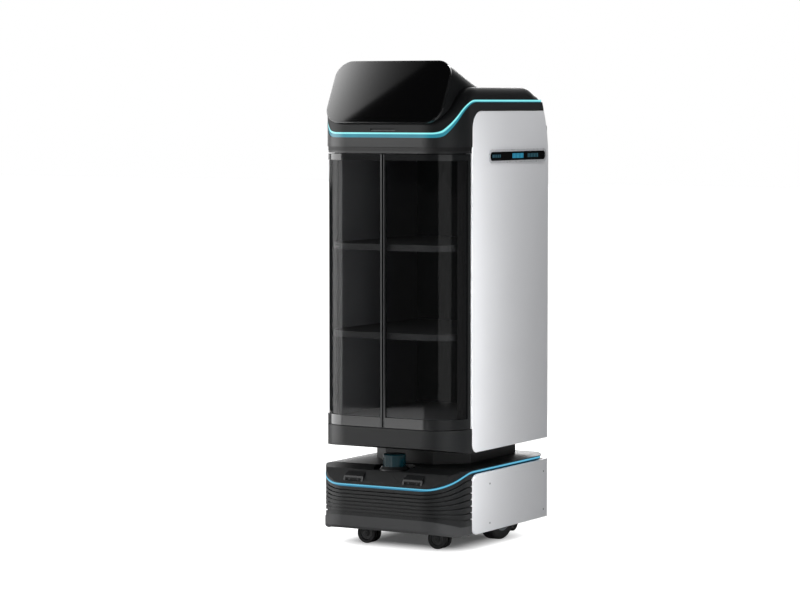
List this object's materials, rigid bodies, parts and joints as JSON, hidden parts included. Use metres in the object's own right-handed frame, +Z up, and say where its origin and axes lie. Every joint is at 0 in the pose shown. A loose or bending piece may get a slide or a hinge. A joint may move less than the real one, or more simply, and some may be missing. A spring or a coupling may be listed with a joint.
{
  "type": "autonomous mobile robot",
  "caption": "Cabinet delivery robot: low louvred wheeled base with lidar, tall white-sided cabinet with curved smoked-glass doors and shelves, light bands and a tilted screen head.",
  "frame": {"origin": "on the floor under the middle of the robot's length and width", "axes": "+Z up, the robot drives forward and faces along -Y, +X is at its own left hand"},
  "size_m": [0.414, 0.539, 1.258],
  "materials": {
    "black_plastic": "satin",
    "black_steel": "satin",
    "blue_light": "gloss",
    "cell_case": "matte",
    "contact_brass": "satin",
    "cyan_light": "gloss",
    "frame_steel": "satin",
    "gloss_black": "gloss",
    "hub_metal": "satin",
    "inner_sheet": "matte",
    "lining_plastic": "matte",
    "screen_glass": "gloss",
    "silver_trim": "satin",
    "smoked_glass": "gloss",
    "stop_red": "gloss",
    "wheel_rubber": "matte",
    "white_panel": "satin"
  },
  "bodies": {
    "chassis": {"base_rim": "black_plastic", "base_skirt": "black_plastic", "base_light_strip": "blue_light", "base_deck": "black_plastic", "base_panel_right": "white_panel", "base_panel_left": "white_panel", "panel_screws": "frame_steel", "base_wall_right": "black_steel", "base_wall_left": "black_steel", "base_rear_cover": "black_plastic", "charging_contacts": "contact_brass", "chassis_plate": "frame_steel", "arm_brackets": "frame_steel", "battery_pack": "cell_case", "drive_controller": "cell_case", "lidar_foot": "black_plastic", "lidar_window": "screen_glass", "pedestal": "black_plastic", "side_panel_right": "white_panel", "side_panel_left": "white_panel", "cabinet_base": "black_plastic", "cabinet_floor": "lining_plastic", "cabinet_wall_right": "lining_plastic", "cabinet_wall_left": "lining_plastic", "rear_cover": "black_plastic", "shelf_low": "inner_sheet", "shelf_high": "inner_sheet", "shelf_clips": "black_plastic", "door_hinge_pins": "frame_steel", "display_frame_right": "silver_trim", "display_frame_left": "silver_trim", "display_glass_right": "screen_glass", "display_glass_left": "screen_glass", "cabinet_collar": "black_plastic", "halo_light": "cyan_light", "head_shell": "black_plastic", "screen_bezel": "gloss_black", "screen_glass": "screen_glass"},
    "door_right": {"door_frame_right": "gloss_black", "door_glass_right": "smoked_glass"},
    "arm_right": {"suspension_arm_right": "frame_steel"},
    "drive_wheel_right": {"drive_tyre_right": "wheel_rubber", "drive_hub_right": "hub_metal"},
    "door_left": {"door_frame_left": "gloss_black", "door_glass_left": "smoked_glass"},
    "arm_left": {"suspension_arm_left": "frame_steel"},
    "drive_wheel_left": {"drive_tyre_left": "wheel_rubber", "drive_hub_left": "hub_metal"},
    "caster_front_right": {"caster_fork_front_right": "black_plastic"},
    "caster_wheels_front_right": {"caster_wheels_front_right": "wheel_rubber"},
    "caster_front_left": {"caster_fork_front_left": "black_plastic"},
    "caster_wheels_front_left": {"caster_wheels_front_left": "wheel_rubber"},
    "caster_rear_right": {"caster_fork_rear_right": "black_plastic"},
    "caster_wheels_rear_right": {"caster_wheels_rear_right": "wheel_rubber"},
    "caster_rear_left": {"caster_fork_rear_left": "black_plastic"},
    "caster_wheels_rear_left": {"caster_wheels_rear_left": "wheel_rubber"},
    "lidar_rotor": {"lidar_rotor": "hub_metal"},
    "stop_button": {"stop_button": "stop_red"},
    "power_button": {"power_button": "black_plastic"}
  },
  "joints": [
    {"name": "door_right_hinge", "type": "hinge", "parent": "chassis", "child": "door_right", "pos_m": [0.197, -0.1605, 0.6695], "axis": [0, 0, 1], "range_deg": [0, 90]},
    {"name": "suspension_right", "type": "hinge", "parent": "chassis", "child": "arm_right", "pos_m": [0.122, -0.0125, 0.084], "axis": [1, 0, 0], "range_deg": [-4, 4], "stiffness_Nm_per_rad": 400},
    {"name": "drive_right_spin", "type": "hinge", "parent": "arm_right", "child": "drive_wheel_right", "pos_m": [0.151, 0.0825, 0.075], "axis": [1, 0, 0], "continuous": true},
    {"name": "door_left_hinge", "type": "hinge", "parent": "chassis", "child": "door_left", "pos_m": [-0.197, -0.1605, 0.6695], "axis": [0, 0, -1], "range_deg": [0, 90]},
    {"name": "suspension_left", "type": "hinge", "parent": "chassis", "child": "arm_left", "pos_m": [-0.122, -0.0125, 0.084], "axis": [1, 0, 0], "range_deg": [-4, 4], "stiffness_Nm_per_rad": 400},
    {"name": "drive_left_spin", "type": "hinge", "parent": "arm_left", "child": "drive_wheel_left", "pos_m": [-0.151, 0.0825, 0.075], "axis": [1, 0, 0], "continuous": true},
    {"name": "caster_front_right_swivel", "type": "hinge", "parent": "chassis", "child": "caster_front_right", "pos_m": [0.09, -0.1435, 0.065], "axis": [0, 0, 1], "continuous": true},
    {"name": "caster_front_right_spin", "type": "hinge", "parent": "caster_front_right", "child": "caster_wheels_front_right", "pos_m": [0.106, -0.1435, 0.027], "axis": [0, 1, 0], "continuous": true},
    {"name": "caster_front_left_swivel", "type": "hinge", "parent": "chassis", "child": "caster_front_left", "pos_m": [-0.09, -0.1435, 0.065], "axis": [0, 0, 1], "continuous": true},
    {"name": "caster_front_left_spin", "type": "hinge", "parent": "caster_front_left", "child": "caster_wheels_front_left", "pos_m": [-0.106, -0.1435, 0.027], "axis": [0, 1, 0], "continuous": true},
    {"name": "caster_rear_right_swivel", "type": "hinge", "parent": "chassis", "child": "caster_rear_right", "pos_m": [0.107, 0.2135, 0.065], "axis": [0, 0, 1], "continuous": true},
    {"name": "caster_rear_right_spin", "type": "hinge", "parent": "caster_rear_right", "child": "caster_wheels_rear_right", "pos_m": [0.107, 0.2295, 0.027], "axis": [1, 0, 0], "continuous": true},
    {"name": "caster_rear_left_swivel", "type": "hinge", "parent": "chassis", "child": "caster_rear_left", "pos_m": [-0.107, 0.2135, 0.065], "axis": [0, 0, 1], "continuous": true},
    {"name": "caster_rear_left_spin", "type": "hinge", "parent": "caster_rear_left", "child": "caster_wheels_rear_left", "pos_m": [-0.107, 0.2295, 0.027], "axis": [1, 0, 0], "continuous": true},
    {"name": "lidar_spin", "type": "hinge", "parent": "chassis", "child": "lidar_rotor", "pos_m": [0, -0.1945, 0.2275], "axis": [0, 0, 1], "continuous": true},
    {"name": "stop_press", "type": "slide", "parent": "chassis", "child": "stop_button", "axis": [0, -1, 0], "range_m": [0, 0.004], "stiffness_N_per_m": 800},
    {"name": "power_press", "type": "slide", "parent": "chassis", "child": "power_button", "axis": [0, -1, 0], "range_m": [0, 0.0025], "stiffness_N_per_m": 500}
  ]
}
